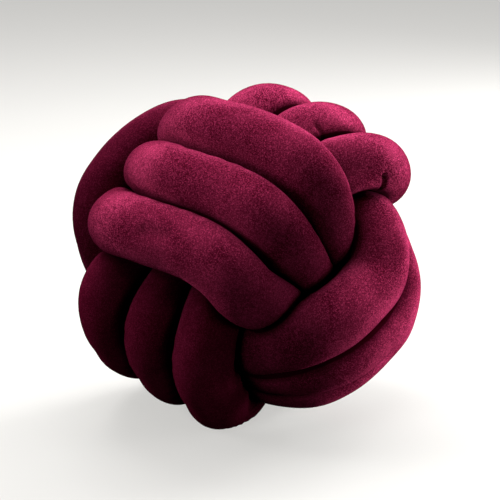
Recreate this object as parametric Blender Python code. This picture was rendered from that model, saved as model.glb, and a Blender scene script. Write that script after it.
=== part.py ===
"""Knot cushion: one long stuffed velvet tube, wound on itself into a ball knot.

The tube makes three bands at right angles, each of three turns side by side. A turn is a rounded oblong loop
round the heart of the ball: its two crowns lie on the outside of the ball, and its two long walls pass under
the crowns of the next band. The tube winds the side band first, goes over a back corner of the ball into the
top band, goes over the opposite back corner into the front band, and both its ends are tucked into the heart.

Where two lengths of the tube press together, each gives way to the plane halfway between them, and where the
ball rests, the tube lies flat on the floor. Lengths are in millimetres and angles in degrees until the mesh is
made. The knot's own axes are 0 out of the front band, 1 out of the side band and 2 out of the top band.
"""

from math import comb, pi, radians
from typing import NamedTuple

import bpy
import numpy as np
from mathutils import Euler

MM = 0.001

# The tube, and how the ball stands on the floor
TUBE_RADIUS = 25.0
PRESSED_GAP = 2.0
BALL_CENTRE = (-1.4, -1.65, 133.5)
BALL_TURN = (-31.25, -28, -107)

# How the mesh follows the tube
SIDES = 14
RINGS = 400
END_RINGS = (20.0, 45.0, 70.0)
SAMPLE_STEP = 4.0
BEND_STEP = 8.0

# How lengths of the tube press on each other: those further apart along it than SAME_LENGTH can touch, and
# a bend's inner side stops at BEND_SHARE of the way to the bend's own centre
SAME_LENGTH = 85.0
BEND_SHARE = 0.95
SECTION_SQUARENESS = 10.0

# Where the pitch between turns narrows, from crown to wall, as shares of a turn's reach
NARROW_FROM = 0.88
NARROW_TO = 0.42
# A crown is where the cosine of the angle round the turn is above this, either way
CROWN_COSINE = 0.45
# How far to either side a step to the next place reaches, in degrees, and a wall's dent, in millimetres
STEP_OVER_HALF = 44.0
WALL_DENT_HALF = 62.0


class Band(NamedTuple):
    """Three turns side by side. A pair is for the crown on the plus side and the one on the minus side."""

    axes: tuple  # knot axes along which a turn is long and short, and along which the turns are stacked
    tilt: tuple  # the band's turn about its long, short and stack axes
    centre: tuple  # the band's middle, along its long, short and stack axes
    reach: tuple  # from its middle to each crown: a pair, each for the low, middle and high turn of the stack
    half_width: float  # from its middle to a wall
    squareness: float  # 2 makes a turn an ellipse, and more makes it squarer
    crown_pitch: tuple  # from turn to turn at the crowns
    wall_pitch: float  # from turn to turn at the walls
    middle_shift: tuple  # how far the middle turn's crown lies off the stack's middle
    bow: tuple  # how far all crowns bow along the stack halfway between their shoulders
    sway: tuple  # how far all crowns swing to either side of the bow
    dent: float  # how far the walls press in


class Winding(NamedTuple):
    """How the tube goes round a band. Angles run round a turn from its plus crown towards the plus short axis."""

    band: Band
    enters: float
    leaves: float
    first_place: int  # -1 is the low turn of the stack, 0 the middle one and 1 the high one
    step: int  # to the next place in the stack
    steps_over_at: tuple  # the walls where the tube steps over to the next place


FRONT = Band(
    axes=(0, 1, 2),
    tilt=(5.75, -7.25, -0.5),
    centre=(-5.75, -3, -3.25),
    reach=((115, 114.5, 104), (114.75, 111.75, 108.5)),
    half_width=67.75,
    squareness=3.55,
    crown_pitch=(47.5, 44),
    wall_pitch=31.75,
    middle_shift=(-2.5, -2.5),
    bow=(5.5, -4),
    sway=(4.25, 3.75),
    dent=2.25,
)
TOP = Band(
    axes=(2, 0, 1),
    tilt=(-1.5, 4.25, -9),
    centre=(-3, -9.5, -3.25),
    reach=((101.5, 109.75, 105.5), (107.75, 106.5, 103.5)),
    half_width=70,
    squareness=3.7,
    crown_pitch=(43.75, 44.5),
    wall_pitch=32,
    middle_shift=(-2, -0.5),
    bow=(5.25, 5.25),
    sway=(13.5, 1),
    dent=5.75,
)
SIDE = Band(
    axes=(1, 2, 0),
    tilt=(-10, -1.75, 6),
    centre=(-2, -2.25, -9.75),
    reach=((104.75, 116.75, 111.75), (109.5, 119.25, 110)),
    half_width=72.25,
    squareness=2.65,
    crown_pitch=(49.5, 37.25),
    wall_pitch=32.5,
    middle_shift=(-3.25, 3.5),
    bow=(-3.75, -1.75),
    sway=(-11.25, -3),
    dent=9,
)

ROUND_SIDE = Winding(SIDE, 90 + 50, 3 * 360 + 5, 1, -1, (450, 810))
ROUND_TOP = Winding(TOP, -18, 2 * 360 + 195, 1, -1, (270, 630))
ROUND_FRONT = Winding(FRONT, 183, -2 * 360 - 36, -1, 1, (-90, -450))
FIRST_CORNER_REACH = (78, 60)
SECOND_CORNER_REACH = (54, 38)

# The tucked ends: points that pull the tube from the heart of the ball into its first turn, and out of its last
FIRST_TAIL = ((-6, -24, -38.5), (22.5, 7, -22), (8, 15, 3), (46.5, 12.5, 25))
FIRST_TAIL_REACH = 51
LAST_TAIL = ((-10.5, -69.5, 34.5), (-19, -22, 22.5), (-18, 2.5, -15.5), (-24.5, 34, 7))
LAST_TAIL_REACH = 26

VELVET = dict(name="burgundy_velvet", colour=(0.13, 0.006, 0.03, 1.0), roughness=0.85)


def smooth_step(x):
    """0 below 0, 1 above 1, and an even S between."""
    x = np.clip(x, 0.0, 1.0)
    return x * x * (3.0 - 2.0 * x)


def hump(x):
    """1 at 0, 0 at -1 and 1, round between."""
    return 0.5 + 0.5 * np.cos(pi * np.clip(x, -1.0, 1.0))


def unit(vectors):
    return vectors / np.linalg.norm(vectors, axis=-1, keepdims=True)


def turn_matrix(axis, angle):
    """Rotation about one knot axis, for points held as rows."""
    return np.array(Euler([radians(angle) if i == axis else 0.0 for i in range(3)]).to_matrix()).T


def band_matrix(band):
    long, short, stack = band.axes
    about_long, about_short, about_stack = band.tilt
    return turn_matrix(stack, about_stack) @ turn_matrix(short, about_short) @ turn_matrix(long, about_long)


def place_in_stack(winding, angle):
    """The tube's place in the stack, which changes evenly where it steps over."""
    sense = np.sign(winding.leaves - winding.enters)
    place = np.full(len(angle), float(winding.first_place))
    for wall in winding.steps_over_at:
        place += winding.step * smooth_step(0.5 + sense * (angle - wall) / (2.0 * STEP_OVER_HALF))
    return place


def band_points(band, angle, place):
    """Points of the tube's middle line on a band, in knot axes.

    A turn is the superellipse of the band's reach and half width. It lies in the stack at its place times the
    pitch, which is wider at the crowns than at the walls, and the crowns bow and sway along the stack.
    """
    along, across = np.cos(np.radians(angle)), np.sin(np.radians(angle))
    plus = along > 0.0
    low, middle, high = (np.where(plus, *turn) for turn in zip(*band.reach))
    reach = middle + (high - low) / 2.0 * place + ((high + low) / 2.0 - middle) * place**2
    power = band.squareness
    radius = (np.abs(along / reach) ** power + np.abs(across / band.half_width) ** power) ** (-1.0 / power)
    u, v = radius * along, radius * across
    crown = smooth_step((np.abs(u) / band.reach[0][1] - NARROW_TO) / (NARROW_FROM - NARROW_TO))
    over = np.where(np.abs(along) > CROWN_COSINE, 1.0, 0.0)
    pitch = band.wall_pitch + (np.where(plus, *band.crown_pitch) - band.wall_pitch) * crown
    bow = np.where(plus, *band.bow) + np.where(plus, *band.middle_shift) * (1.0 - place**2)
    sway = np.where(plus, *band.sway) * np.sin(pi * np.clip(v / band.half_width, -1.0, 1.0))
    w = place * pitch + over * (bow * hump(v / band.half_width) + sway)
    v = v - np.sign(v) * band.dent * hump(u / WALL_DENT_HALF)
    local = np.stack([u, v, w], axis=1) + np.array(band.centre)
    points = np.empty_like(local)
    points[:, list(band.axes)] = local
    return points @ band_matrix(band)


def bezier(points, count=60):
    """Points of the Bezier curve that these points pull."""
    points = np.array(points, dtype=float)
    t = np.linspace(0.0, 1.0, count)[:, None]
    n = len(points) - 1
    return sum(comb(n, i) * t**i * (1.0 - t) ** (n - i) * p for i, p in enumerate(points))


def wound(winding, step=2.0):
    """The stretch of middle line that winds round one band, with a point about every so many degrees."""
    angle = np.linspace(winding.enters, winding.leaves, int(abs(winding.leaves - winding.enters) / step))
    return band_points(winding.band, angle, place_in_stack(winding, angle))


def joined(before, after, reach):
    """A corner of the ball: from the end of one stretch, straight on at both ends, to the start of the next."""
    out = before[-1] + reach[0] * unit(before[-1] - before[-2])
    into = after[0] - reach[1] * unit(after[1] - after[0])
    return bezier([before[-1], out, into, after[0]])[1:-1]


def middle_line():
    """The whole tube's middle line and, at each point, the way its band is stacked, both in knot axes."""
    side, top, front = wound(ROUND_SIDE), wound(ROUND_TOP), wound(ROUND_FRONT)
    first = bezier([*FIRST_TAIL, side[0] - FIRST_TAIL_REACH * unit(side[1] - side[0]), side[0]])[:-1]
    last = bezier([front[-1], front[-1] + LAST_TAIL_REACH * unit(front[-1] - front[-2]), *LAST_TAIL])[1:]
    over_first = joined(side, top, FIRST_CORNER_REACH)
    over_second = joined(top, front, SECOND_CORNER_REACH)
    line = np.concatenate([first, side, over_first, top, over_second, front, last])
    ways = {band: band_matrix(band)[band.axes[2]] for band in (SIDE, TOP, FRONT)}
    t = np.linspace(0.0, 1.0, len(over_first))[:, None]
    stack = np.concatenate(
        [
            np.tile(ways[SIDE], (len(first) + len(side), 1)),
            (1.0 - t) * ways[SIDE] + t * ways[TOP],
            np.tile(ways[TOP], (len(top), 1)),
            (1.0 - t) * ways[TOP] + t * ways[FRONT],
            np.tile(ways[FRONT], (len(front) + len(last), 1)),
        ]
    )
    return line, stack


def lengths_along(line):
    return np.concatenate([[0.0], np.cumsum(np.linalg.norm(np.diff(line, axis=0), axis=1))])


def at_lengths(line, values, wanted):
    along = lengths_along(line)
    return np.stack([np.interp(wanted, along, column) for column in values.T], axis=1)


def ring_lengths(line):
    """Where the rings stand along the tube: closer where it bends, and closer still in the two rounded ends."""
    total = lengths_along(line)[-1]
    even = np.arange(TUBE_RADIUS, total - TUBE_RADIUS, SAMPLE_STEP)
    way = unit(np.gradient(at_lengths(line, line, even), axis=0))
    bend = np.linalg.norm(np.gradient(way, axis=0), axis=1) / SAMPLE_STEP
    weight = lengths_along(np.cumsum(1.0 + TUBE_RADIUS * bend)[:, None])
    body = np.interp(np.linspace(0.0, weight[-1], RINGS), weight, even)
    cap = TUBE_RADIUS * (1.0 - np.cos(np.radians(END_RINGS)))
    return np.concatenate([cap, body, total - cap[::-1]])


def squeezed_radius(centres, directions, bends, samples, apart, knot_up):
    """How far the skin stands from the middle line in each direction.

    It is the tube's radius, held back by the plane halfway to each other length of the tube, by the centre of
    the tube's own bend, and by the floor.
    """
    to_sample = samples[None] - centres[:, None]
    distance = np.linalg.norm(to_sample, axis=2)
    near = apart & (distance < 2.1 * TUBE_RADIUS)
    count = near.sum(axis=1).max()
    nearest = np.argsort(np.where(near, distance, np.inf), axis=1)[:, :count]
    to_sample = np.take_along_axis(to_sample, nearest[..., None], axis=1)
    distance = np.take_along_axis(np.where(near, distance, np.inf), nearest, axis=1)
    reach_towards = np.einsum("rdk,rsk->rds", directions, to_sample)
    held = (2.0 * reach_towards / (distance * (distance - PRESSED_GAP))[:, None, :]).max(axis=2)
    held = np.maximum(held, np.einsum("rk,rdk->rd", bends, directions) / BEND_SHARE)
    held = np.maximum(held, 1.0e-6)
    radius = (TUBE_RADIUS**-SECTION_SQUARENESS + held**SECTION_SQUARENESS) ** (-1.0 / SECTION_SQUARENESS)
    height = centres @ knot_up + BALL_CENTRE[2]
    falls = np.maximum(-(directions @ knot_up), 1.0e-6)
    return np.minimum(radius, height[:, None] / falls)


def tube_rings():
    """The skin as rings of points round the middle line, in world millimetres, with a point at each end."""
    line, stack = middle_line()
    total = lengths_along(line)[-1]
    where = ring_lengths(line)
    centres = at_lengths(line, line, where)
    ahead, behind = at_lengths(line, line, where + 2.0), at_lengths(line, line, where - 2.0)
    way = unit(ahead - behind)
    wide_ahead = at_lengths(line, line, where + BEND_STEP)
    wide_behind = at_lengths(line, line, where - BEND_STEP)
    bends = (wide_ahead - 2.0 * centres + wide_behind) / BEND_STEP**2
    across = at_lengths(line, stack, where)
    across = unit(across - way * (across * way).sum(axis=1, keepdims=True))
    aside = np.cross(across, way)
    angle = np.linspace(0.0, 2.0 * pi, SIDES, endpoint=False)[None, :, None]
    directions = np.cos(angle) * aside[:, None] + np.sin(angle) * across[:, None]
    sampled = np.arange(0.0, total, SAMPLE_STEP)
    apart = np.abs(where[:, None] - sampled[None]) > SAME_LENGTH
    to_world = np.array(Euler([radians(a) for a in BALL_TURN]).to_matrix())
    samples = at_lengths(line, line, sampled)
    radius = squeezed_radius(centres, directions, bends, samples, apart, to_world[2])
    radius[: len(END_RINGS)] *= np.sin(np.radians(END_RINGS))[:, None]
    radius[-len(END_RINGS) :] *= np.sin(np.radians(END_RINGS[::-1]))[:, None]
    rings = centres[:, None] + directions * radius[..., None]
    ends = np.stack([line[0], line[-1]])
    move = np.array(BALL_CENTRE)
    return rings @ to_world.T + move, ends @ to_world.T + move


def tube_faces(ring_count):
    """Four-sided faces between neighbouring rings, and three-sided ones round each end point."""
    ring, side = np.meshgrid(np.arange(ring_count - 1), np.arange(SIDES), indexing="ij")
    here = ring * SIDES + side
    beside = ring * SIDES + (side + 1) % SIDES
    sides = np.stack([here, beside, beside + SIDES, here + SIDES], axis=2).reshape(-1, 4).tolist()
    first_end, last_end = ring_count * SIDES, ring_count * SIDES + 1
    last_ring = (ring_count - 1) * SIDES
    for i in range(SIDES):
        j = (i + 1) % SIDES
        sides.append([first_end, j, i])
        sides.append([last_end, last_ring + i, last_ring + j])
    return sides


def velvet():
    material = bpy.data.materials.new(VELVET["name"])
    material.use_nodes = True
    shader = material.node_tree.nodes["Principled BSDF"]
    shader.inputs["Base Color"].default_value = VELVET["colour"]
    shader.inputs["Roughness"].default_value = VELVET["roughness"]
    shader.inputs["Metallic"].default_value = 0.0
    material.diffuse_color = VELVET["colour"]
    return material


def make_tube():
    rings, ends = tube_rings()
    points = np.concatenate([rings.reshape(-1, 3), ends]) * MM
    mesh = bpy.data.meshes.new("knotted_tube")
    mesh.from_pydata(points.tolist(), [], tube_faces(len(rings)))
    mesh.validate()
    mesh.shade_smooth()
    mesh.materials.append(velvet())
    tube = bpy.data.objects.new("knotted_tube", mesh)
    bpy.context.scene.collection.objects.link(tube)
    return tube


def main():
    for old in list(bpy.data.objects):
        bpy.data.objects.remove(old, do_unlink=True)
    make_tube()


main()
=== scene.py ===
"""Knot cushion in burgundy velvet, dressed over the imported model.

One stuffed tube is wound into a ball knot, and a pale floor, soft lights and a camera are set round it.
"""

from math import comb, cos, pi, radians, sin
from typing import NamedTuple

import bpy
import numpy as np
from bpy.props import FloatProperty, FloatVectorProperty, IntProperty, PointerProperty
from bpy.types import Operator, Panel, PropertyGroup
from mathutils import Euler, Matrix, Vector


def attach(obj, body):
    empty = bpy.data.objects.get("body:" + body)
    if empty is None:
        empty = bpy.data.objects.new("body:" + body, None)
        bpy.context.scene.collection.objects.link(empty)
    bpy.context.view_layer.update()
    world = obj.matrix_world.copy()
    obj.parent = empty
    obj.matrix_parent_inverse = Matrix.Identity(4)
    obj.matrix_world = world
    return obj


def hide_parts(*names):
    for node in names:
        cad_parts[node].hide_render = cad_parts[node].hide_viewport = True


bl_info = {
    "name": "Velvet knot cushion",
    "version": (1, 0, 0),
    "blender": (4, 5, 0),
    "location": "View3D > Sidebar > Knot Cushion",
    "description": "Winds a stuffed velvet tube into a ball knot and lights it softly on a pale floor",
    "category": "Add Mesh",
}

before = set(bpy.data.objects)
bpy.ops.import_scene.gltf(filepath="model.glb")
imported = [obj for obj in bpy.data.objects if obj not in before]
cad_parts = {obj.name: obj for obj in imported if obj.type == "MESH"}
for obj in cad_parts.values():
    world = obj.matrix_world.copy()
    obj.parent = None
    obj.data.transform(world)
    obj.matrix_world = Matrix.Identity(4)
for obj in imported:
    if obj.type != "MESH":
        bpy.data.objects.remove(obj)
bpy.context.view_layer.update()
TUBE_NODE = "knotted_tube"
MM = 0.001

# From here to the troughs, lengths are in millimetres and angles in degrees, unless a comment says otherwise

# How the ball stands on the floor
BALL_CENTRE = (-1.4, -1.65, 133.5)
BALL_TURN = (-31.25, -28, -107)

# The middle line's corners and tucked ends have this many points each
CURVE_POINTS = 60
# What the tube can press on is read from the middle line at these steps, and a ring's way and bend between
# places this far to either side of it
SAMPLE_STEP = 2.5
WAY_STEP = 2.0
BEND_STEP = 8.0
# Two lengths can press on each other where they are further apart along the tube than the first number, and
# nearer to each other than the second, in radii
SAME_LENGTH = 85.0
PRESS_REACH = 2.1
# A bend's inner side stops at this share of the way to the bend's own centre
BEND_SHARE = 0.95
# Radius and hold join by this power: the higher it is, the sharper are the edges of a pressed section
SECTION_SQUARENESS = 9.0
# A hold is evened out over this many rings to either side
EVENED_RINGS = 2
# This many rings are worked out at once, to save memory
RING_BLOCK = 100
# A hold or a fall smaller than this counts as this, so that nothing is divided by zero
LEAST = 1.0e-6
# Where the rings of a rounded end stand on it, from its tip
END_RINGS = (8.0, 16.0, 24.0, 32.0, 40.0, 48.0, 56.0, 64.0, 72.0, 80.0)

# The press is the hold times the tube's radius: 1 where the skin would just touch another length. Stuffing
# plumps the skin fully up to the first number, and fades out over the second. Gathers are deepest at the
# third, and reach as far as the fourth to either side of it
PLUMP_UNTIL = 0.7
PLUMP_FADE = 0.3
GATHERS_AT = 0.82
GATHERS_HALF = 0.22
# A crease is the band's own, and its painted shade is widened by the band's Brushing, where its own turns
# hold the skin by at least this share of the hardest hold
OWN_PRESS_FROM = 0.8

# Slow waves of the stuffing: share, waves in a metre of tube, waves round it, and start in radians
STUFFING_WAVES = ((0.4, 14.3, 1.0, 0.7), (0.3, 23.7, -2.0, 2.1), (0.2, 9.1, 3.0, 4.4), (0.1, 37.9, 2.0, 5.2))
# Gathers in a metre of tube, how far their lines bend, in radians, and how often in a metre the bend turns
GATHER_WAVES = 71.0
GATHER_BEND = 1.7
GATHER_BEND_WAVES = 11.0
# Patches in which they show: share, waves in a metre of tube, and start in radians
PATCH_WAVES = ((0.5, 6.1, 0.9), (0.3, 17.3, 3.0))
# One wave in a metre of tube, in radians a millimetre
WAVE_IN_A_METRE = 2.0 * pi / 1000.0

# Where the pitch between turns narrows, from crown to wall, as shares of a turn's reach
NARROW_FROM = 0.88
NARROW_TO = 0.42
# A crown is where the cosine of the angle round the turn is above this, either way
CROWN_COSINE = 0.45
# How far to either side a step to the next place reaches, in degrees, and a wall's dent, in millimetres
STEP_OVER_HALF = 44.0
WALL_DENT_HALF = 62.0


class Band(NamedTuple):
    """Three turns side by side. A pair is for the crown on the plus side and the one on the minus side."""

    axes: tuple  # knot axes along which a turn is long and short, and along which the turns are stacked
    tilt: tuple  # the band's turn about its long, short and stack axes
    centre: tuple  # the band's middle, along its long, short and stack axes
    reach: tuple  # from its middle to each crown: a pair, each for the stack's low, middle and high turn
    half_width: float  # from its middle to a wall
    squareness: float  # 2 makes a turn an ellipse, and more makes it squarer
    crown_pitch: tuple  # from turn to turn at the crowns
    wall_pitch: float  # from turn to turn at the walls
    middle_shift: tuple  # how far the middle turn's crown lies off the stack's middle
    bow: tuple  # how far all crowns bow along the stack halfway between their shoulders
    sway: tuple  # how far all crowns swing to either side of the bow
    dent: float  # how far the walls press in


class Winding(NamedTuple):
    """How the tube goes round a band, at angles from a turn's plus crown towards its plus short axis."""

    band: Band
    enters: float
    leaves: float
    first_place: int  # -1 is the low turn of the stack, 0 the middle one and 1 the high one
    step: int  # to the next place in the stack
    steps_over_at: tuple  # the walls where the tube steps over to the next place


FRONT = Band(
    axes=(0, 1, 2),
    tilt=(5.75, -7.25, -0.5),
    centre=(-5.75, -3, -3.25),
    reach=((115, 114.5, 104), (114.75, 111.75, 108.5)),
    half_width=67.75,
    squareness=3.55,
    crown_pitch=(47.5, 44),
    wall_pitch=31.75,
    middle_shift=(-2.5, -2.5),
    bow=(5.5, -4),
    sway=(4.25, 3.75),
    dent=2.25,
)
TOP = Band(
    axes=(2, 0, 1),
    tilt=(-1.5, 4.25, -9),
    centre=(-3, -9.5, -3.25),
    reach=((101.5, 109.75, 105.5), (107.75, 106.5, 103.5)),
    half_width=70,
    squareness=3.7,
    crown_pitch=(43.75, 44.5),
    wall_pitch=32,
    middle_shift=(-2, -0.5),
    bow=(5.25, 5.25),
    sway=(13.5, 1),
    dent=5.75,
)
SIDE = Band(
    axes=(1, 2, 0),
    tilt=(-10, -1.75, 6),
    centre=(-2, -2.25, -9.75),
    reach=((104.75, 116.75, 111.75), (109.5, 119.25, 110)),
    half_width=72.25,
    squareness=2.65,
    crown_pitch=(49.5, 37.25),
    wall_pitch=32.5,
    middle_shift=(-3.25, 3.5),
    bow=(-3.75, -1.75),
    sway=(-11.25, -3),
    dent=9,
)

ROUND_SIDE = Winding(
    band=SIDE, enters=90 + 50, leaves=3 * 360 + 5, first_place=1, step=-1, steps_over_at=(450, 810)
)
ROUND_TOP = Winding(
    band=TOP, enters=-18, leaves=2 * 360 + 195, first_place=1, step=-1, steps_over_at=(270, 630)
)
ROUND_FRONT = Winding(
    band=FRONT, enters=183, leaves=-2 * 360 - 36, first_place=-1, step=1, steps_over_at=(-90, -450)
)
# How far the tube heads straight out of a band and straight into the next: side to top, and top to front
FIRST_CORNER_REACH = (78, 60)
SECOND_CORNER_REACH = (54, 38)

# The tucked ends: points that pull the tube from the heart of the ball into its first turn and out of its
# last one, and how far it heads straight into the first and straight out of the last
FIRST_TAIL = ((-6, -24, -38.5), (22.5, 7, -22), (8, 15, 3), (46.5, 12.5, 25))
FIRST_TAIL_REACH = 51
LAST_TAIL = ((-10.5, -69.5, 34.5), (-19, -22, 22.5), (-18, 2.5, -15.5), (-24.5, 34, 7))
LAST_TAIL_REACH = 26


class Brushing(NamedTuple):
    """How the pile lies on one side of a band, and the painted shade on that side."""

    along: float  # how far it lies over along the tube, as a share of the pile's usual lean
    up: float  # how far it lies over up the stack, as such a share too
    painted_band_shade: float  # painted shade: how far its colour is darkened towards the dark tufts' colour, and lightened below zero
    crease: float  # how much wider the painted crease shade is than the press, as a share of the tube's radius


# On each band, the side of the plus crown and the side of the minus crown
# The third number is painted shade over a whole side of a band, and below zero painted light; the fourth
# widens the painted crease shade
BRUSHED = {
    SIDE: (Brushing(1.0, 0.0, 0.0, 0.22), Brushing(1.0, -0.3, 0.5, 0.17)),
    TOP: (Brushing(-1.0, 0.0, -0.1, 0.06), Brushing(-1.6, 0.0, 0.6, 0.06)),
    FRONT: (Brushing(1.0, 0.0, 0.0, -0.1), Brushing(1.0, 0.0, 0.0, -0.1)),
}


class Trough(NamedTuple):
    """A soft trough in the skin between two places, each a length along the tube and an angle round it."""

    start: tuple
    end: tuple
    half_width: float
    depth: float


TROUGHS = {
    "notch_at_the_right_crown": Trough((2087, 100), (2081, 66), 2.4, 3.0),
    "fold_over_that_notch": Trough((2087, 100), (2074, 122), 2.6, 2.0),
    "wrinkle_on_the_middle_crown": Trough((2740, 152), (2737, 120), 2.6, 1.8),
    "hollow_on_the_low_front_turn": Trough((4110, 341), (4097, 343), 9.0, 2.4),
    "low_front_turn_goes_under": Trough((3984, 22), (3976, 48), 13.0, 7.0),
}
# Beside a trough the rings are denser, as far along the tube as this and by this many times at most, on top
# of the even ones. Their density is summed in this many steps
TROUGH_REACH = 26.0
TROUGH_DENSER = 3.0
FINE_STEPS = 20000

# The velvet's tones: how few tufts are bright, and what tufts and mottling add to the lit share. A ramp
# rises from 0 at its first number to 1 at its second: that of the mottling, that of the painted sheen by the
# turn away from the view, and those of the press, where painted crease shade starts and is darkest
SPECK_POWER = 2.4
SPECK_SHARE = 0.88
MOTTLING_SHARE = 0.2
MOTTLING_RAMP = (0.3, 0.7)
PAINTED_SHEEN_RAMP = (0.55, 1.0)
CREASE_RAMP = (0.76, 1.0)
DARKEST_RAMP = (0.96, 1.06)
# How far a bright tuft stands over the grain in the bump, and the strength of the bump
SPECK_HEIGHT = 0.25
BUMP_STRENGTH = 0.2

# The floor's corners, in metres, and how its darker tone compares with its colour
FLOOR_CORNERS = ((-6.0, -4.0, 0.0), (6.0, -4.0, 0.0), (6.0, 8.0, 0.0), (-6.0, 8.0, 0.0))
FLOOR_DARKER = 0.96

# The camera looks straight ahead along +Y and down by this many degrees, and sees as far as this many metres
VIEW_DOWN = 14.0
VIEW_END = 50.0


def smooth_step(x):
    """0 below 0, 1 above 1, and an even S between: 3x squared less 2x cubed."""
    x = np.clip(x, 0.0, 1.0)
    return x * x * (3.0 - 2.0 * x)


def hump(x):
    """1 at 0, 0 at -1 and 1, round between: half a cosine wave."""
    return 0.5 + 0.5 * np.cos(pi * np.clip(x, -1.0, 1.0))


def unit(vectors):
    """Each vector over its own length."""
    return vectors / np.linalg.norm(vectors, axis=-1, keepdims=True)


def turn_matrix(axis, angle):
    """Rotation about one knot axis, for points held as rows."""
    return np.array(Euler([radians(angle) if i == axis else 0.0 for i in range(3)]).to_matrix()).T


def band_matrix(band):
    """The band's three tilts one after another: about its stack, its short and then its long axis."""
    long, short, stack = band.axes
    about_long, about_short, about_stack = band.tilt
    return turn_matrix(stack, about_stack) @ turn_matrix(short, about_short) @ turn_matrix(long, about_long)


def place_in_stack(winding, angle):
    """The tube's place in the stack: a smooth step of one place at each wall where it steps over."""
    sense = np.sign(winding.leaves - winding.enters)
    place = np.full(len(angle), float(winding.first_place))
    for wall in winding.steps_over_at:
        place += winding.step * smooth_step(0.5 + sense * (angle - wall) / (2.0 * STEP_OVER_HALF))
    return place


def band_points(band, angle, place):
    """Points of the tube's middle line on a band, in knot axes.

    A turn is the superellipse of the band's reach and half width. It lies in the stack at its place times
    the pitch, which is wider at the crowns than at the walls. The crowns bow and sway along the stack, and
    the walls are dented.
    """
    along, across = np.cos(np.radians(angle)), np.sin(np.radians(angle))
    plus = along > 0.0
    low, middle, high = (np.where(plus, *turn) for turn in zip(*band.reach))
    reach = middle + (high - low) / 2.0 * place + ((high + low) / 2.0 - middle) * place**2
    power = band.squareness
    radius = (np.abs(along / reach) ** power + np.abs(across / band.half_width) ** power) ** (-1.0 / power)
    u, v = radius * along, radius * across
    crown = smooth_step((np.abs(u) / band.reach[0][1] - NARROW_TO) / (NARROW_FROM - NARROW_TO))
    over = np.where(np.abs(along) > CROWN_COSINE, 1.0, 0.0)
    pitch = band.wall_pitch + (np.where(plus, *band.crown_pitch) - band.wall_pitch) * crown
    bow = np.where(plus, *band.bow) + np.where(plus, *band.middle_shift) * (1.0 - place**2)
    sway = np.where(plus, *band.sway) * np.sin(pi * np.clip(v / band.half_width, -1.0, 1.0))
    w = place * pitch + over * (bow * hump(v / band.half_width) + sway)
    v = v - np.sign(v) * band.dent * hump(u / WALL_DENT_HALF)
    local = np.stack([u, v, w], axis=1) + np.array(band.centre)
    points = np.empty_like(local)
    points[:, list(band.axes)] = local
    return points @ band_matrix(band)


def bezier(points):
    """Points of the Bezier curve that these points pull: their sum, weighed by the Bernstein polynomials."""
    points = np.array(points, dtype=float)
    t = np.linspace(0.0, 1.0, CURVE_POINTS)[:, None]
    n = len(points) - 1
    return sum(comb(n, i) * t**i * (1.0 - t) ** (n - i) * p for i, p in enumerate(points))


def angles_round(winding):
    """The tube's angles round a band, about a degree apart, from where it enters to where it leaves."""
    return np.linspace(winding.enters, winding.leaves, int(abs(winding.leaves - winding.enters)))


def wound(winding):
    """The stretch of middle line that winds round one band."""
    angle = angles_round(winding)
    return band_points(winding.band, angle, place_in_stack(winding, angle))


def brushed_on(winding):
    """How the pile lies on that stretch: as on the plus or the minus crown, and blended at the walls."""
    plus, minus = np.array(BRUSHED[winding.band])
    share = smooth_step(0.5 + np.cos(np.radians(angles_round(winding)))[:, None])
    return minus + (plus - minus) * share


def joined(before, after, reach):
    """A corner of the ball: from one stretch's end to the next one's start, straight on at both."""
    out = before[-1] + reach[0] * unit(before[-1] - before[-2])
    into = after[0] - reach[1] * unit(after[1] - after[0])
    return bezier([before[-1], out, into, after[0]])[1:-1]


def middle_line():
    """The whole tube's middle line, in knot axes, and three things at each of its points.

    They are the way its band is stacked, in knot axes, a Brushing's four numbers, and the band's number.
    """
    side, top, front = wound(ROUND_SIDE), wound(ROUND_TOP), wound(ROUND_FRONT)
    first = bezier([*FIRST_TAIL, side[0] - FIRST_TAIL_REACH * unit(side[1] - side[0]), side[0]])[:-1]
    last = bezier([front[-1], front[-1] + LAST_TAIL_REACH * unit(front[-1] - front[-2]), *LAST_TAIL])[1:]
    over_first = joined(side, top, FIRST_CORNER_REACH)
    over_second = joined(top, front, SECOND_CORNER_REACH)
    line = np.concatenate([first, side, over_first, top, over_second, front, last])
    ways = {band: band_matrix(band)[band.axes[2]] for band in (SIDE, TOP, FRONT)}
    t = np.linspace(0.0, 1.0, len(over_first))[:, None]
    stack = np.concatenate(
        [
            np.tile(ways[SIDE], (len(first) + len(side), 1)),
            (1.0 - t) * ways[SIDE] + t * ways[TOP],
            np.tile(ways[TOP], (len(top), 1)),
            (1.0 - t) * ways[TOP] + t * ways[FRONT],
            np.tile(ways[FRONT], (len(front) + len(last), 1)),
        ]
    )
    on_side, on_top, on_front = brushed_on(ROUND_SIDE), brushed_on(ROUND_TOP), brushed_on(ROUND_FRONT)
    brushed = np.concatenate(
        [
            np.tile(on_side[:1], (len(first), 1)),
            on_side,
            on_side[-1] + (on_top[0] - on_side[-1]) * smooth_step(t),
            on_top,
            on_top[-1] + (on_front[0] - on_top[-1]) * smooth_step(t),
            on_front,
            np.tile(on_front[-1:], (len(last), 1)),
        ]
    )
    band_ends = len(first) + len(side), len(line) - len(last) - len(front)
    band = (np.arange(len(line))[:, None] >= band_ends).sum(axis=1, keepdims=True)
    return line, stack, brushed, band


def lengths_along(line):
    """The running sum of the distances between neighbouring points."""
    return np.concatenate([[0.0], np.cumsum(np.linalg.norm(np.diff(line, axis=0), axis=1))])


def at_lengths(line, values, wanted):
    """Values that belong to a line's points, read between them at the lengths wanted."""
    along = lengths_along(line)
    return np.stack([np.interp(wanted, along, column) for column in values.T], axis=1)


def smoothed(values, width):
    """Each column's weighted mean over its neighbours along the tube, with a raised cosine as the weight."""
    weight = hump(np.linspace(-1.0, 1.0, 2 * width + 1))
    weight /= weight.sum()
    before, after = np.repeat(values[:1], width, axis=0), np.repeat(values[-1:], width, axis=0)
    padded = np.concatenate([before, values, after])
    return sum(w * padded[i : i + len(values)] for i, w in enumerate(weight))


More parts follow.
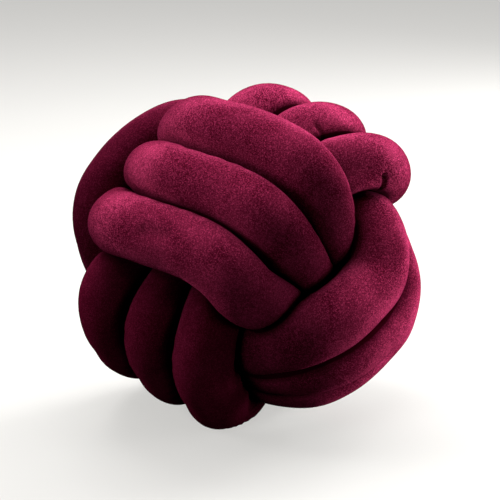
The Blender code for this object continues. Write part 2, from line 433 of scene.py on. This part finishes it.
def ring_places(start, end, count):
    """Lengths along the tube for the rings: even, but denser beside the troughs.

    The running sum of their density is read backwards at even steps.
    """
    lengths = np.linspace(start, end, FINE_STEPS)
    beside = [hump((lengths - trough.start[0]) / TROUGH_REACH) for trough in TROUGHS.values()]
    density = 1.0 + TROUGH_DENSER * np.max(beside, axis=0)
    share = np.cumsum(density) - density[0]
    return np.interp(np.linspace(0.0, share[-1], count), share, lengths)


def ring_axes(line, stack, where):
    """Each ring's centre, the tube's way there, and unit vectors square to it: up the stack, and aside."""
    centres = at_lengths(line, line, where)
    way = unit(at_lengths(line, line, where + WAY_STEP) - at_lengths(line, line, where - WAY_STEP))
    across = at_lengths(line, stack, where)
    across = unit(across - way * (across * way).sum(axis=1, keepdims=True))
    return centres, way, across, np.cross(across, way)


def hold_back(centres, directions, samples, touching, radius, gap):
    """How hard samples of the middle line hold the skin back, as one over the distance that they leave it.

    The touching array says for each ring which samples count. The plane halfway to a sample leaves half the
    gap less than half the distance, over the cosine between the skin's direction and the sample's. The
    hardest hold of all samples counts.
    """
    held = np.zeros(directions.shape[:2])
    for start in range(0, len(centres), RING_BLOCK):
        part = slice(start, start + RING_BLOCK)
        to_sample = samples[None] - centres[part, None]
        distance = np.linalg.norm(to_sample, axis=2)
        close = touching[part] & (distance < PRESS_REACH * radius)
        near = close.any(axis=0)
        if not near.any():
            continue
        to_sample, distance, close = to_sample[:, near], distance[:, near], close[:, near]
        pull = np.where(close, 2.0 / (distance * (distance - gap)), 0.0)
        reach_towards = np.einsum("rdk,rsk->rds", directions[part], to_sample)
        held[part] = (reach_towards * pull[:, None]).max(axis=2)
    return held


def held_by_lengths(line, band, where, centres, directions, radius, gap):
    """How hard the tube's other lengths hold the skin back, and how hard those of the same band alone do."""
    sampled = np.arange(0.0, lengths_along(line)[-1], SAMPLE_STEP)
    samples = at_lengths(line, line, sampled)
    touching = np.abs(where[:, None] - sampled) > SAME_LENGTH
    own = at_lengths(line, band, where).round() == at_lengths(line, band, sampled).round().T
    held = hold_back(centres, directions, samples, touching, radius, gap)
    held_by_own = hold_back(centres, directions, samples, touching & own, radius, gap)
    return smoothed(held, EVENED_RINGS), smoothed(held_by_own, EVENED_RINGS)


def held_by_bend(line, where, centres, directions):
    """How hard a bend holds its inner side back: the middle line's second difference, over BEND_SHARE."""
    ahead = at_lengths(line, line, where + BEND_STEP)
    behind = at_lengths(line, line, where - BEND_STEP)
    bends = (ahead - 2.0 * centres + behind) / BEND_STEP**2
    return np.einsum("rk,rdk->rd", bends, directions) / BEND_SHARE


def stuffing(along, around):
    """How unevenly the filling plumps the tube, -1 to 1: four slow waves that run along and round it."""
    return sum(
        share * np.sin(WAVE_IN_A_METRE * waves * along + turns * around + start)
        for share, waves, turns, start in STUFFING_WAVES
    )


def gathers(along, around):
    """Small folds across the tube, 0 to 1: a wave along it, bent by its place round it, in slow patches."""
    bend = GATHER_BEND * np.sin(around + WAVE_IN_A_METRE * GATHER_BEND_WAVES * along)
    wave = 0.5 + 0.5 * np.sin(WAVE_IN_A_METRE * GATHER_WAVES * along + bend)
    patch = 0.5
    for share, waves, start in PATCH_WAVES:
        patch = patch + share * np.sin(WAVE_IN_A_METRE * waves * along + start)
    return wave**2 * smooth_step(patch)


def troughs(along, around, radius):
    """How far in the troughs go: half a cosine wave over the distance to each line on the unrolled skin."""
    depth = 0.0
    for trough in TROUGHS.values():
        (u, turn), (u_end, turn_end) = trough.start, trough.end
        across = radius * radians(turn_end - turn)
        du, dv = along - u, radius * ((around - radians(turn) + pi) % (2.0 * pi) - pi)
        share = np.clip((du * (u_end - u) + dv * across) / ((u_end - u) ** 2 + across**2), 0.0, 1.0)
        off_line = np.hypot(du - share * (u_end - u), dv - share * across)
        depth = depth + trough.depth * hump(off_line / trough.half_width)
    return depth


class Skin(NamedTuple):
    """The velvet skin, ring by ring, with its lengths in metres."""

    rings: np.ndarray  # each ring's points
    ends: np.ndarray  # the points that close the tube's two ends
    lengths: np.ndarray  # how far along the tube each ring stands
    pressed: np.ndarray  # how hard each point is pressed, plus its band's widening, for the painted crease shade
    naps: np.ndarray  # which way the pile is brushed on each ring
    painted_band_shade: np.ndarray  # how far painted shade darkens each ring's band side, and below zero lightens it


def tube_skin(sizes):
    """The velvet skin: rings of points round the middle line, with what the velvet's colour and painted
    shade read there.

    A ring's point lies from the middle line, in its own direction, by the tube's radius held back by its
    other lengths and its bends. Radius and hold join as the ninth root of their ninth powers. The skin is
    then plumped by the stuffing, gathered beside each press, pressed in at the troughs, and cut off by the
    floor.
    """
    radius, gap = sizes.tube_radius / MM, sizes.pressed_gap / MM
    line, stack, brushed, band = middle_line()
    total = lengths_along(line)[-1]
    cap = radius * (1.0 - np.cos(np.radians(END_RINGS)))
    where = np.concatenate([cap, ring_places(radius, total - radius, sizes.rings), total - cap[::-1]])
    centres, way, across, aside = ring_axes(line, stack, where)
    around = np.linspace(0.0, 2.0 * pi, sizes.sides, endpoint=False)
    angle = around[None, :, None]
    directions = np.cos(angle) * aside[:, None] + np.sin(angle) * across[:, None]

    held, held_by_own = held_by_lengths(line, band, where, centres, directions, radius, gap)
    held = np.maximum(held, held_by_bend(line, where, centres, directions))
    held = np.maximum(held, LEAST)
    press = held * radius
    skin = (radius**-SECTION_SQUARENESS + held**SECTION_SQUARENESS) ** (-1.0 / SECTION_SQUARENESS)
    free = 1.0 - smooth_step((press - PLUMP_UNTIL) / PLUMP_FADE)
    skin += sizes.stuffing_depth / MM * stuffing(where[:, None], around) * free
    beside = hump((press - GATHERS_AT) / GATHERS_HALF)
    skin -= sizes.gather_depth / MM * gathers(where[:, None], around) * beside
    skin -= troughs(where[:, None], around, radius)

    to_world = np.array(Euler([radians(a) for a in BALL_TURN]).to_matrix())
    height = centres @ to_world[2] + BALL_CENTRE[2]
    falls = np.maximum(-(directions @ to_world[2]), LEAST)
    skin = np.minimum(skin, height[:, None] / falls)
    narrowed = np.sin(np.radians(END_RINGS))
    skin[: len(END_RINGS)] *= narrowed[:, None]
    skin[-len(END_RINGS) :] *= narrowed[::-1, None]
    rings = (centres[:, None] + directions * skin[..., None]) @ to_world.T + np.array(BALL_CENTRE)
    ends = np.stack([line[0], line[-1]]) @ to_world.T + np.array(BALL_CENTRE)

    # Painted shade on each band's sides, read from the Brushing table
    along, up, painted_band_shade, crease = at_lengths(line, brushed, where).T[..., None]
    # The band's painted crease shade reaches past the press on its own creases
    crease = crease * smooth_step((held_by_own / held - OWN_PRESS_FROM) / (1.0 - OWN_PRESS_FROM))
    naps = (way * along + across * up) @ to_world.T
    return Skin(rings * MM, ends * MM, where * MM, press + crease, naps, painted_band_shade)


def corner_places(*corners):
    """The UV places of like faces, one face after another, from the u and the v of each of their corners."""
    places = [np.stack(np.broadcast_arrays(u, v), axis=-1) for u, v in corners]
    return np.stack(places, axis=-2).reshape(-1, 2)


def tube_mesh(name, skin, radius):
    """A closed mesh through the rings: four-sided faces from ring to ring, and triangles round each end.

    Its UV map is in metres, along the tube and round it. Its attributes say how hard the skin is pressed,
    with the band's painted crease shade widened in, which way the pile is brushed, and how much painted
    shade darkens it.
    """
    count, sides = skin.rings.shape[:2]
    ring, side = np.meshgrid(np.arange(count - 1), np.arange(sides), indexing="ij")
    here, beside = ring * sides + side, ring * sides + (side + 1) % sides
    quads = np.stack([here, beside, beside + sides, here + sides], axis=2).reshape(-1, 4)
    side, next_side = np.arange(sides), (np.arange(sides) + 1) % sides
    last_ring = (count - 1) * sides
    first_fan = np.stack([np.full(sides, count * sides), next_side, side], axis=1)
    last_fan = np.stack([np.full(sides, count * sides + 1), last_ring + side, last_ring + next_side], axis=1)
    mesh = bpy.data.meshes.new(name)
    points = np.concatenate([skin.rings.reshape(-1, 3), skin.ends])
    mesh.from_pydata(points.tolist(), [], quads.tolist() + first_fan.tolist() + last_fan.tolist())
    mesh.shade_smooth()

    u, u_next = skin.lengths[:-1, None], skin.lengths[1:, None]
    first, last = skin.lengths[0], skin.lengths[-1]
    width = 2.0 * pi * radius / sides
    v, v_next = side * width, side * width + width
    places = [
        corner_places((u, v), (u, v_next), (u_next, v_next), (u_next, v)),
        corner_places((0.0, v), (first, v_next), (first, v)),
        corner_places((last + first, v), (last, v), (last, v_next)),
    ]
    mesh.uv_layers.new(name="along_tube").uv.foreach_set("vector", np.concatenate(places).ravel())

    # The points go ring by ring, and after them come the two ends, which count as fully pressed, in the
    # darkest painted crease shade
    pressed = np.concatenate([skin.pressed.ravel(), [1.0, 1.0]])
    mesh.attributes.new("pressed", "FLOAT", "POINT").data.foreach_set("value", pressed)
    for attribute, kind, key, values in (
        ("nap_way", "FLOAT_VECTOR", "vector", skin.naps),
        ("painted_band_shade", "FLOAT", "value", skin.painted_band_shade),
    ):
        values = np.concatenate([np.repeat(values, sides, axis=0), values[:1], values[-1:]])
        mesh.attributes.new(attribute, kind, "POINT").data.foreach_set(key, values.ravel())
    mesh.update()
    return mesh


def opaque(colour):
    """A colour with its alpha."""
    return (*colour, 1.0)


class Nodes:
    """A material's nodes. An input may be a value, or another node's socket to link."""

    def __init__(self, material):
        material.use_nodes = True
        self.tree = material.node_tree
        self.tree.nodes.clear()

    def add(self, kind, inputs=(), **settings):
        """A new node of this kind, with its settings made before its inputs."""
        node = self.tree.nodes.new(kind)
        for key, value in settings.items():
            setattr(node, key, value)
        for key, value in dict(inputs).items():
            if isinstance(value, bpy.types.NodeSocket):
                self.tree.links.new(value, node.inputs[key])
            else:
                node.inputs[key].default_value = value
        return node

    def attribute(self, name, output="Fac"):
        """One of the mesh's own attributes, as a number or as a Vector."""
        return self.add("ShaderNodeAttribute", attribute_name=name).outputs[output]

    def maths(self, operation, first, second, clamp=False):
        """One operation on two numbers, kept between 0 and 1 where it is clamped."""
        node = self.add("ShaderNodeMath", {0: first, 1: second}, operation=operation, use_clamp=clamp)
        return node.outputs["Value"]

    def ramp(self, value, low, high):
        """0 at low and below, 1 at high and above, smooth between."""
        inputs = {"Value": value, "From Min": low, "From Max": high}
        return self.add("ShaderNodeMapRange", inputs, interpolation_type="SMOOTHSTEP").outputs["Result"]

    def mix(self, share, first, second):
        """The first colour at share 0, the second at 1. The node's colours are its sockets 6 and 7."""
        return self.add("ShaderNodeMix", {0: share, 6: first, 7: second}, data_type="RGBA").outputs[2]


def velvet(look):
    """Short-pile velvet: dark burgundy that pales where the pile catches light, speckled tuft by tuft.

    Its tips are lightened by painted sheen where they are seen from their side. Its creases, and the sides
    of some bands, are darkened by painted shade.
    """
    material = bpy.data.materials.new("velvet_pile")
    nodes = Nodes(material)
    place = nodes.add("ShaderNodeTexCoord").outputs["Object"]
    tufts = nodes.add("ShaderNodeTexVoronoi", {"Vector": place, "Scale": look.tuft_scale})
    grain = nodes.add("ShaderNodeTexNoise", {"Vector": place, "Scale": look.tuft_scale, "Detail": 2.0})
    mottling = nodes.add(
        "ShaderNodeTexNoise", {"Vector": place, "Scale": 26.0, "Detail": 2.0, "Distortion": 0.6}
    )

    # Each tuft has a tone of its own, and few of them are bright
    speck = nodes.maths("POWER", tufts.outputs["Color"], SPECK_POWER)
    height = nodes.maths("ADD", grain.outputs["Fac"], nodes.maths("MULTIPLY", speck, SPECK_HEIGHT))
    bump = nodes.add(
        "ShaderNodeBump", {"Height": height, "Strength": BUMP_STRENGTH, "Distance": look.pile_height}
    )
    # The pile leans the way it was brushed, and catches light as if the cloth were turned a bit that way
    lean = (look.pile_lean, look.pile_lean, look.pile_lean)
    leaning = nodes.add(
        "ShaderNodeVectorMath",
        {0: nodes.attribute("nap_way", "Vector"), 1: lean, 2: bump.outputs["Normal"]},
        operation="MULTIPLY_ADD",
    )
    pile_way = nodes.add("ShaderNodeVectorMath", {0: leaning.outputs["Vector"]}, operation="NORMALIZE")
    pile_way = pile_way.outputs["Vector"]

    # The tufts' tones over the slow mottling of the brushing, less where painted shade darkens the band's
    # side
    streak = nodes.ramp(mottling.outputs["Fac"], *MOTTLING_RAMP)
    lit = nodes.maths("MULTIPLY", speck, SPECK_SHARE)
    lit = nodes.maths("ADD", lit, nodes.maths("MULTIPLY", streak, MOTTLING_SHARE), clamp=True)
    outside_band_shade = nodes.maths("SUBTRACT", 1.0, nodes.attribute("painted_band_shade"))
    lit = nodes.maths("MULTIPLY", lit, outside_band_shade, clamp=True)
    # Painted sheen: the pile's colour is lightened towards the painted sheen colour where it turns away from
    # the view
    edge = nodes.add("ShaderNodeLayerWeight", {"Blend": 0.5, "Normal": pile_way}).outputs["Facing"]
    tips = nodes.mix(nodes.ramp(edge, *PAINTED_SHEEN_RAMP), opaque(look.lit_colour), opaque(look.painted_sheen_colour))
    pile = nodes.mix(lit, opaque(look.dark_tuft_and_shade_colour), tips)

    # Painted crease shade: a crease darkens towards the press, and is darkest where two lengths touch
    pressed = nodes.attribute("pressed")
    shaded = nodes.maths("MULTIPLY", nodes.ramp(pressed, *CREASE_RAMP), look.crease_shade)
    shaded = nodes.maths("ADD", shaded, nodes.ramp(pressed, *DARKEST_RAMP), clamp=True)
    shader = nodes.add(
        "ShaderNodeBsdfPrincipled",
        {
            "Base Color": nodes.mix(shaded, pile, opaque(look.painted_crease_shade_colour)),
            "Roughness": 0.9,
            "Specular IOR Level": 0.0,
            "Sheen Weight": look.sheen,
            "Sheen Roughness": look.sheen_spread,
            "Sheen Tint": opaque(look.sheen_colour),
            "Normal": pile_way,
        },
    )
    nodes.add("ShaderNodeOutputMaterial", {"Surface": shader.outputs["BSDF"]})
    material.diffuse_color = opaque(look.lit_colour)
    return material


def pale_floor(look):
    """A matt pale floor, faintly uneven in its tone, with a glow that keeps it pale far from the lights."""
    material = bpy.data.materials.new("pale_floor")
    nodes = Nodes(material)
    place = nodes.add("ShaderNodeTexCoord").outputs["Object"]
    tone = nodes.add("ShaderNodeTexNoise", {"Vector": place, "Scale": 3.0, "Detail": 2.0})
    darker = tuple(FLOOR_DARKER * channel for channel in look.floor_colour)
    shader = nodes.add(
        "ShaderNodeBsdfPrincipled",
        {
            "Base Color": nodes.mix(tone.outputs["Fac"], opaque(darker), opaque(look.floor_colour)),
            "Roughness": 0.8,
            "Specular IOR Level": 0.2,
            "Emission Color": opaque(look.glow_colour),
            "Emission Strength": 1.0,
        },
    )
    nodes.add("ShaderNodeOutputMaterial", {"Surface": shader.outputs["BSDF"]})
    return material


class KnotCushionSizes(PropertyGroup):
    """Sizes of the wound tube."""

    tube_radius: FloatProperty(
        name="Tube radius", description="Half the stuffed tube's width", default=0.0251, unit="LENGTH"
    )
    pressed_gap: FloatProperty(
        name="Pressed gap",
        description="What is left between two pressed lengths",
        default=0.0006,
        unit="LENGTH",
    )
    stuffing_depth: FloatProperty(
        name="Stuffing",
        description="How unevenly the filling plumps the tube",
        default=0.0007,
        unit="LENGTH",
    )
    gather_depth: FloatProperty(
        name="Gathers",
        description="Depth of the small folds beside a press",
        default=0.0008,
        unit="LENGTH",
    )
    rings: IntProperty(name="Rings", description="Rings of points along the tube", default=1900, min=100)
    sides: IntProperty(name="Sides", description="Points in one ring", default=50, min=8)


class VelvetLook(PropertyGroup):
    """Colours of the velvet, its painted sheen and painted shade among them, and its pile."""

    # The dark tufts' colour, which the painted band shade also darkens towards
    dark_tuft_and_shade_colour: FloatVectorProperty(
        name="Deep",
        description="Velvet seen down into the pile",
        subtype="COLOR",
        default=(0.04, 0.0008, 0.006),
    )
    lit_colour: FloatVectorProperty(
        name="Lit",
        description="Velvet on the tips of the pile",
        subtype="COLOR",
        default=(0.302, 0.0236, 0.0765),
    )
    # Painted sheen: the colour the pile's tips are lightened to where they turn away from the view
    painted_sheen_colour: FloatVectorProperty(
        name="Edge",
        description="Velvet on tips seen from their side",
        subtype="COLOR",
        default=(0.56, 0.048, 0.148),
    )
    # Painted crease shade: the colour a crease is darkened to
    painted_crease_shade_colour: FloatVectorProperty(
        name="Crease",
        description="Velvet where two lengths press",
        subtype="COLOR",
        default=(0.02, 0.0005, 0.003),
    )
    crease_shade: FloatProperty(
        name="Crease shade",
        description="How far a crease takes that colour before its lengths touch",
        subtype="FACTOR",
        default=0.65,
    )
    sheen: FloatProperty(
        name="Sheen", description="Strength of the soft sheen", subtype="FACTOR", default=1.0
    )
    sheen_spread: FloatProperty(
        name="Sheen spread",
        description="How far the sheen reaches in from the edges",
        subtype="FACTOR",
        default=0.28,
    )
    sheen_colour: FloatVectorProperty(
        name="Sheen colour", description="Colour of the sheen", subtype="COLOR", default=(0.07, 0.006, 0.020)
    )
    pile_lean: FloatProperty(
        name="Pile lean", description="How far the pile leans the way it was brushed", default=0.6
    )
    tuft_scale: FloatProperty(name="Tuft scale", description="Tufts of pile in a metre", default=1500.0)
    pile_height: FloatProperty(
        name="Pile height", description="Depth of the pile's unevenness", default=0.0009, unit="LENGTH"
    )


class StudioLook(PropertyGroup):
    """Floor, glow and camera."""

    floor_colour: FloatVectorProperty(
        name="Floor", description="The pale floor", subtype="COLOR", default=(0.22, 0.215, 0.207)
    )
    glow_colour: FloatVectorProperty(
        name="Glow",
        description="The floor and what lies behind it, away from the lights",
        subtype="COLOR",
        default=(0.53, 0.525, 0.51),
    )
    camera_distance: FloatProperty(
        name="Camera distance", description="From the ball's middle", default=1.608, unit="LENGTH"
    )
    lens: FloatProperty(name="Lens", description="Focal length in millimetres", default=148.2)
    shift: FloatVectorProperty(
        name="Shift",
        description="The view's shift, in widths of the picture",
        size=2,
        default=(0.0053, -0.0064),
    )


class Light(NamedTuple):
    """A square soft light that faces the ball."""

    name: str
    round_from_camera: float  # in degrees: 0 is the camera's side, 90 the right of its view and 180 the back
    raised: float  # in degrees over level
    away: float  # from the ball's middle, in metres
    size: float  # side of the square, in metres
    power: float  # in watts


LIGHTS = (
    Light("overhead", 0.0, 88.0, 1.7, 0.9, 7.2),
    Light("left_high", 270.0, 62.0, 1.7, 0.9, 7.5),
    Light("left_middle", 270.0, 35.0, 1.7, 0.9, 6.5),
    Light("left_low", 270.0, 22.0, 1.7, 0.45, 12.5),
    Light("front_left_low", 315.0, 8.0, 1.7, 0.45, 3.6),
    Light("front_right_low", 45.0, 8.0, 1.7, 0.45, 3.6),
    Light("right_low", 90.0, 8.0, 1.7, 0.45, 12.5),
    Light("right_bounce", 100.0, -12.0, 0.36, 0.18, 0.6),
    Light("back_right_low", 135.0, 8.0, 1.7, 0.45, 39.0),
    Light("back_right_middle", 135.0, 35.0, 1.7, 0.9, 30.1),
    Light("back_right_high", 150.0, 62.0, 1.7, 0.9, 16.8),
    Light("back_left_high", 210.0, 62.0, 1.7, 0.9, 24.1),
)


class KNOT_OT_wound_tube(Operator):
    """Wind the stuffed velvet tube into its ball knot"""

    bl_idname = "knot_cushion.wound_tube"
    bl_label = "Wound Velvet Tube"

    def execute(self, context):
        sizes = context.scene.knot_cushion_sizes
        mesh = tube_mesh("velvet_knot", tube_skin(sizes), sizes.tube_radius)
        mesh.materials.append(velvet(context.scene.knot_cushion_velvet))
        tube = bpy.data.objects.new("velvet_knot", mesh)
        context.scene.collection.objects.link(tube)
        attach(tube, "root")
        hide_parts(TUBE_NODE)
        return {"FINISHED"}


class KNOT_OT_studio(Operator):
    """Lay the pale floor, hang the soft lights and stand the camera where the photograph was taken"""

    bl_idname = "knot_cushion.studio"
    bl_label = "Floor, Lights and Camera"

    def execute(self, context):
        scene = context.scene
        look = scene.knot_cushion_studio
        mesh = bpy.data.meshes.new("floor")
        mesh.from_pydata(FLOOR_CORNERS, [], [(0, 1, 2, 3)])
        mesh.materials.append(pale_floor(look))
        floor = bpy.data.objects.new("floor", mesh)
        scene.collection.objects.link(floor)
        # The floor is seen but throws no light up: the ball's underside is nearly black in the photograph
        floor.visible_diffuse = False
        floor.visible_glossy = False

        world = bpy.data.worlds.new("pale_surround")
        scene.world = world
        world.use_nodes = True
        world.node_tree.nodes["Background"].inputs["Color"].default_value = opaque(look.glow_colour)
        # It is seen behind the floor, but the lights alone light the ball
        world.cycles_visibility.diffuse = False
        world.cycles_visibility.glossy = False

        middle = Vector(BALL_CENTRE) * MM
        for light in LIGHTS:
            data = bpy.data.lights.new(light.name, "AREA")
            data.size = light.size
            data.energy = light.power
            lamp = bpy.data.objects.new(light.name, data)
            azimuth, height = radians(light.round_from_camera), radians(light.raised)
            towards = Vector((sin(azimuth) * cos(height), -cos(azimuth) * cos(height), sin(height)))
            lamp.location = middle + light.away * towards
            lamp.rotation_euler = towards.to_track_quat("Z", "Y").to_euler()
            lamp.visible_camera = False
            scene.collection.objects.link(lamp)

        data = bpy.data.cameras.new("camera")
        data.lens = look.lens
        data.shift_x, data.shift_y = look.shift
        data.clip_end = VIEW_END
        camera = bpy.data.objects.new("camera", data)
        down = radians(VIEW_DOWN)
        camera.location = middle + look.camera_distance * Vector((0.0, -cos(down), sin(down)))
        camera.rotation_euler = (pi / 2.0 - down, 0.0, 0.0)
        scene.collection.objects.link(camera)
        bpy.context.scene.camera = camera
        scene.view_settings.view_transform = "Standard"
        return {"FINISHED"}


class KNOT_PT_cushion(Panel):
    """Lists the cushion's sizes, its looks and its steps"""

    bl_label = "Knot Cushion"
    bl_idname = "KNOT_PT_cushion"
    bl_space_type = "VIEW_3D"
    bl_region_type = "UI"
    bl_category = "Knot Cushion"

    def draw(self, context):
        layout = self.layout
        for label, group, operator in (
            ("Tube", context.scene.knot_cushion_sizes, "knot_cushion.wound_tube"),
            ("Velvet", context.scene.knot_cushion_velvet, None),
            ("Studio", context.scene.knot_cushion_studio, "knot_cushion.studio"),
        ):
            box = layout.box()
            box.label(text=label)
            for name in group.bl_rna.properties.keys():
                if name not in ("rna_type", "name"):
                    box.prop(group, name)
            if operator:
                box.operator(operator)


CLASSES = (KnotCushionSizes, VelvetLook, StudioLook, KNOT_OT_wound_tube, KNOT_OT_studio, KNOT_PT_cushion)


def register():
    """Make the classes known to Blender, and hang their settings on the scene."""
    for cls in CLASSES:
        bpy.utils.register_class(cls)
    bpy.types.Scene.knot_cushion_sizes = PointerProperty(type=KnotCushionSizes)
    bpy.types.Scene.knot_cushion_velvet = PointerProperty(type=VelvetLook)
    bpy.types.Scene.knot_cushion_studio = PointerProperty(type=StudioLook)


def unregister():
    """Undo register, last things first."""
    del bpy.types.Scene.knot_cushion_studio
    del bpy.types.Scene.knot_cushion_velvet
    del bpy.types.Scene.knot_cushion_sizes
    for cls in reversed(CLASSES):
        bpy.utils.unregister_class(cls)


def main():
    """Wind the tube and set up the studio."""
    register()
    bpy.ops.knot_cushion.wound_tube()
    bpy.ops.knot_cushion.studio()


if __name__ == "__main__":
    main()
